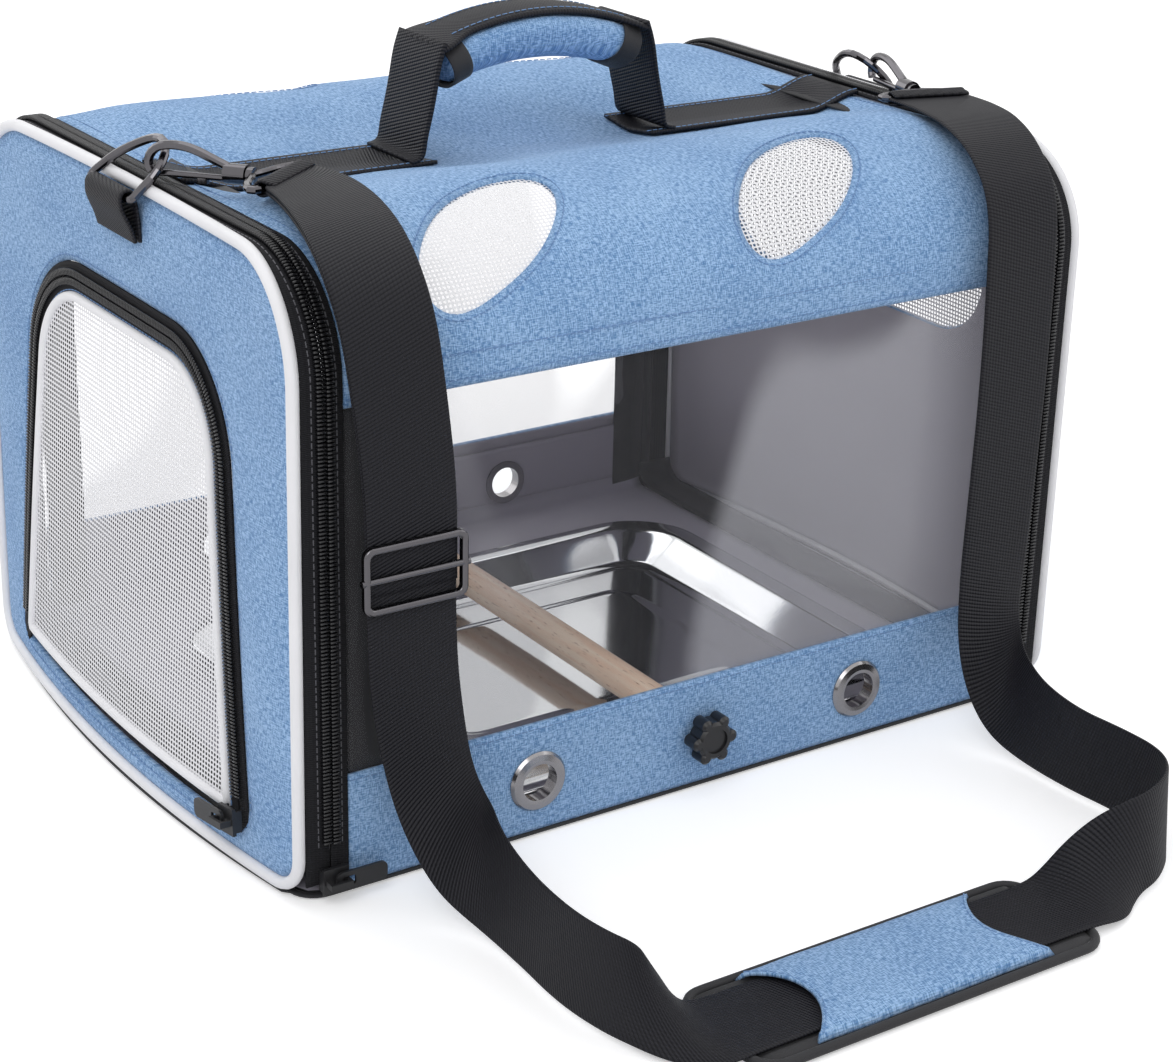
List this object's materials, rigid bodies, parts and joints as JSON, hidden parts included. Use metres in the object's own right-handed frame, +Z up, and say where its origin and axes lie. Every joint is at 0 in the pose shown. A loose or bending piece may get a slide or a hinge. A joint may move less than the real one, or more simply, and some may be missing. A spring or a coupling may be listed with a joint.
{
  "type": "bird travel carrier",
  "caption": "Soft-sided box carrier with clear front and back windows, zipped mesh end door, roof vents, tray, wooden perch, carrying handle and hooked shoulder strap.",
  "frame": {"origin": "middle of the footprint of the carrier's box, on the surface it stands on; the shoulder strap lies loose in front", "axes": "+X along the carrier towards the end without the mesh door, -Y out of the front window (the side the strap hangs on), +Z up"},
  "size_m": [0.4098, 0.4847, 0.3017],
  "materials": {
    "blue_fabric": "heathered denim weave, matt",
    "black_trim": "woven tape, matt",
    "zip_coil": "satin nylon coil",
    "black_webbing": "ribbed webbing, matt",
    "white_piping": "smooth, matt",
    "white_mesh": "open mesh, matt",
    "clear_vinyl": "clear, glossy",
    "grey_lining": "smooth, slightly glossy",
    "board": "matt board",
    "gunmetal": "dark polished plate",
    "black_metal": "satin",
    "black_plastic": "satin gloss",
    "insert_brass": "plain",
    "beech": "sanded, bare",
    "steel": "polished"
  },
  "bodies": {
    "carrier": {"base_fabric": "blue_fabric", "bottom_binding": "black_trim", "base_board": "board", "floor_lining": "grey_lining", "front_lower_band": "blue_fabric", "back_lower_band": "blue_fabric", "front_window": "clear_vinyl", "back_window": "clear_vinyl", "roof": "blue_fabric", "roof_vent_mesh": "white_mesh", "left_body_tape": "black_trim", "right_body_tape": "black_trim", "left_body_coil": "zip_coil", "right_body_coil": "zip_coil", "top_webbing": "black_webbing", "handle_legs": "black_webbing", "front_eyelets": "gunmetal", "back_eyelets": "gunmetal", "perch": "beech", "perch_inserts": "insert_brass", "strap_loop": "black_webbing", "shoulder_strap": "black_webbing"},
    "left_end": {"left_panel": "blue_fabric", "left_piping": "white_piping", "left_door_tape": "black_trim", "left_door_coil": "zip_coil", "mesh_zip_frame": "black_trim", "left_ring_tab": "black_webbing", "left_ring": "gunmetal", "left_swivel": "gunmetal"},
    "mesh_flap": {"door_mesh": "white_mesh", "door_rim": "white_piping", "mesh_zip_door": "black_trim"},
    "right_end": {"right_panel": "blue_fabric", "right_piping": "white_piping", "right_door_tape": "black_trim", "right_door_coil": "zip_coil", "right_window_mesh": "white_mesh", "right_ring_tab": "black_webbing", "right_ring": "gunmetal", "right_swivel": "gunmetal"},
    "left_zip_slider": {"left_slider": "black_metal"},
    "left_zip_pull": {"left_pull": "black_metal"},
    "right_zip_slider": {"right_slider": "black_metal"},
    "right_zip_pull": {"right_pull": "black_metal"},
    "mesh_zip_slider": {"mesh_slider": "black_metal"},
    "mesh_zip_pull": {"mesh_pull": "black_metal"},
    "left_trigger_hook": {"left_hook": "gunmetal"},
    "left_hook_bolt": {"left_bolt": "gunmetal"},
    "right_trigger_hook": {"right_hook": "gunmetal"},
    "right_hook_bolt": {"right_bolt": "gunmetal"},
    "front_perch_knob": {"front_knob": "black_plastic"},
    "back_perch_knob": {"back_knob": "black_plastic"},
    "handle": {"handle_pad": "blue_fabric", "handle_grip_webbing": "black_webbing"},
    "drip_tray": {"tray": "steel"},
    "strap_buckle": {"buckle": "black_metal"},
    "strap_pad": {"shoulder_pad": "blue_fabric", "pad_sleeve": "blue_fabric"}
  },
  "joints": [
    {"name": "left_end_opens", "type": "hinge", "parent": "carrier", "child": "left_end", "pos_m": [-0.2041, 0, 0.002], "axis": [0, -1, 0], "range_deg": [0, 86], "deforming": ["strap_loop"]},
    {"name": "right_end_opens", "type": "hinge", "parent": "carrier", "child": "right_end", "pos_m": [0.2041, 0, 0.002], "axis": [0, 1, 0], "range_deg": [0, 86], "deforming": ["shoulder_strap"]},
    {"name": "mesh_flap_opens", "type": "hinge", "parent": "left_end", "child": "mesh_flap", "pos_m": [-0.2032, 0, 0.0158], "axis": [0, 1, 0], "range_deg": [-90, 0]},
    {"name": "left_zip_runs", "type": "slide", "parent": "carrier", "child": "left_zip_slider", "axis": [0, 0, 1], "range_m": [0, 0.165]},
    {"name": "left_pull_turns", "type": "hinge", "parent": "left_zip_slider", "child": "left_zip_pull", "pos_m": [-0.176, -0.1514, 0.0095], "axis": [0, 0, -1], "range_deg": [0, 180]},
    {"name": "right_zip_runs", "type": "slide", "parent": "carrier", "child": "right_zip_slider", "axis": [0, 0, 1], "range_m": [0, 0.165]},
    {"name": "right_pull_turns", "type": "hinge", "parent": "right_zip_slider", "child": "right_zip_pull", "pos_m": [0.176, 0.1514, 0.0095], "axis": [0, 0, -1], "range_deg": [0, 180]},
    {"name": "mesh_zip_runs", "type": "slide", "parent": "mesh_flap", "child": "mesh_zip_slider", "axis": [0.0353, 0.1193, 0.9922], "range_m": [0, 0.118]},
    {"name": "mesh_pull_turns", "type": "hinge", "parent": "mesh_zip_slider", "child": "mesh_zip_pull", "pos_m": [-0.20235, -0.10567, 0.02226], "axis": [0.0353, 0.1193, 0.9922], "range_deg": [0, 150]},
    {"name": "left_hook_swivels", "type": "hinge", "parent": "left_end", "child": "left_trigger_hook", "pos_m": [-0.16103, -0.04194, 0.25939], "axis": [0.5999, -0.7998, 0.02], "range_deg": [-7, 25]},
    {"name": "left_bolt_pulls", "type": "slide", "parent": "left_trigger_hook", "child": "left_hook_bolt", "axis": [0.5999, -0.7998, 0.02], "range_m": [0, 0.006], "stiffness_N_per_m": 400},
    {"name": "right_hook_swivels", "type": "hinge", "parent": "right_end", "child": "right_trigger_hook", "pos_m": [0.17048, -0.04648, 0.25939], "axis": [-0.25, -0.968, 0.02], "range_deg": [-25, 2]},
    {"name": "right_bolt_pulls", "type": "slide", "parent": "right_trigger_hook", "child": "right_hook_bolt", "axis": [-0.25, -0.968, 0.02], "range_m": [0, 0.006], "stiffness_N_per_m": 400},
    {"name": "front_knob_turns", "type": "hinge", "parent": "carrier", "child": "front_perch_knob", "pos_m": [0, -0.1454, 0.0245], "axis": [0, -1, 0], "continuous": true},
    {"name": "back_knob_turns", "type": "hinge", "parent": "carrier", "child": "back_perch_knob", "pos_m": [0, 0.1454, 0.0245], "axis": [0, 1, 0], "continuous": true},
    {"name": "handle_swings", "type": "hinge", "parent": "carrier", "child": "handle", "pos_m": [0, 0, 0.247], "axis": [1, 0, 0], "range_deg": [-50, 50], "deforming": ["handle_legs"]},
    {"name": "tray_slides", "type": "slide", "parent": "carrier", "child": "drip_tray", "axis": [1, 0, 0], "range_m": [-0.026, 0.026]},
    {"name": "buckle_slides", "type": "slide", "parent": "carrier", "child": "strap_buckle", "axis": [0, 0, 1], "range_m": [-0.04, 0.04]},
    {"name": "pad_slides", "type": "slide", "parent": "carrier", "child": "strap_pad", "axis": [1, 0, 0], "range_m": [-0.03, 0.03]}
  ]
}
